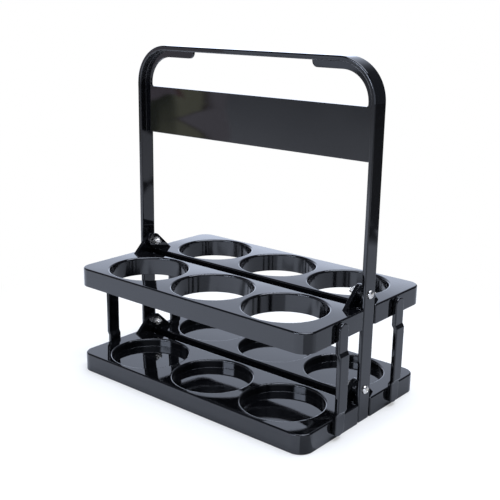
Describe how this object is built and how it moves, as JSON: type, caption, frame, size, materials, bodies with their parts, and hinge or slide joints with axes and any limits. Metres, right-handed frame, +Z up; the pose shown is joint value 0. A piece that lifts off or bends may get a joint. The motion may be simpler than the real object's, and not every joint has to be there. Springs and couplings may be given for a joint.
{
  "type": "folding bottle caddy",
  "caption": "Glossy plastic folding bottle caddy: hinged half trays with round bottle holes over cups, side links and a tall U handle with a cross panel.",
  "frame": {"origin": "floor under the middle of the caddy", "axes": "+X along the handle bar, +Y from the front row of bottles to the rear row, +Z up"},
  "size_m": [0.3136, 0.198, 0.3429],
  "materials": {
    "black_gloss": "gloss moulded black",
    "zinc": "bright zinc plated"
  },
  "bodies": {
    "handle": {"handle": "black_gloss", "screw_lower_right": "zinc", "screw_lower_left": "zinc", "screw_upper_right": "zinc", "screw_upper_left": "zinc", "nut_lower_right": "zinc", "nut_lower_left": "zinc", "nut_upper_right": "zinc", "nut_upper_left": "zinc", "spacer_lower_right": "zinc", "spacer_lower_left": "zinc", "spacer_upper_right": "zinc", "spacer_upper_left": "zinc"},
    "lower_front": {"tray_lower_front": "black_gloss"},
    "lower_rear": {"tray_lower_rear": "black_gloss"},
    "upper_front": {"tray_upper_front": "black_gloss"},
    "upper_rear": {"tray_upper_rear": "black_gloss"},
    "link_front_right": {"link_front_right": "black_gloss"},
    "link_front_left": {"link_front_left": "black_gloss"},
    "link_rear_right": {"link_rear_right": "black_gloss"},
    "link_rear_left": {"link_rear_left": "black_gloss"}
  },
  "joints": [
    {"name": "lower_front_fold", "type": "hinge", "parent": "handle", "child": "lower_front", "pos_m": [0, 0, 0.0319], "axis": [-1, 0, 0], "range_deg": [0, 90]},
    {"name": "upper_front_fold", "type": "hinge", "parent": "handle", "child": "upper_front", "pos_m": [0, 0, 0.1277], "axis": [-1, 0, 0], "range_deg": [0, 90]},
    {"name": "link_front_right_swing", "type": "hinge", "parent": "lower_front", "child": "link_front_right", "pos_m": [0.1485, -0.0485, 0.0105], "axis": [1, 0, 0], "range_deg": [0, 90]},
    {"name": "link_front_left_swing", "type": "hinge", "parent": "lower_front", "child": "link_front_left", "pos_m": [-0.1485, -0.0485, 0.0105], "axis": [1, 0, 0], "range_deg": [0, 90]},
    {"name": "lower_rear_fold", "type": "hinge", "parent": "handle", "child": "lower_rear", "pos_m": [0, 0, 0.0319], "axis": [1, 0, 0], "range_deg": [0, 90]},
    {"name": "upper_rear_fold", "type": "hinge", "parent": "handle", "child": "upper_rear", "pos_m": [0, 0, 0.1277], "axis": [1, 0, 0], "range_deg": [0, 90]},
    {"name": "link_rear_right_swing", "type": "hinge", "parent": "lower_rear", "child": "link_rear_right", "pos_m": [0.1485, 0.0485, 0.0105], "axis": [-1, 0, 0], "range_deg": [0, 90]},
    {"name": "link_rear_left_swing", "type": "hinge", "parent": "lower_rear", "child": "link_rear_left", "pos_m": [-0.1485, 0.0485, 0.0105], "axis": [-1, 0, 0], "range_deg": [0, 90]}
  ],
  "couplings": [
    {"joint": "upper_front_fold", "follows": "lower_front_fold", "ratio": 1},
    {"joint": "link_front_right_swing", "follows": "lower_front_fold", "ratio": 1},
    {"joint": "link_front_left_swing", "follows": "lower_front_fold", "ratio": 1},
    {"joint": "upper_rear_fold", "follows": "lower_rear_fold", "ratio": 1},
    {"joint": "link_rear_right_swing", "follows": "lower_rear_fold", "ratio": 1},
    {"joint": "link_rear_left_swing", "follows": "lower_rear_fold", "ratio": 1}
  ]
}
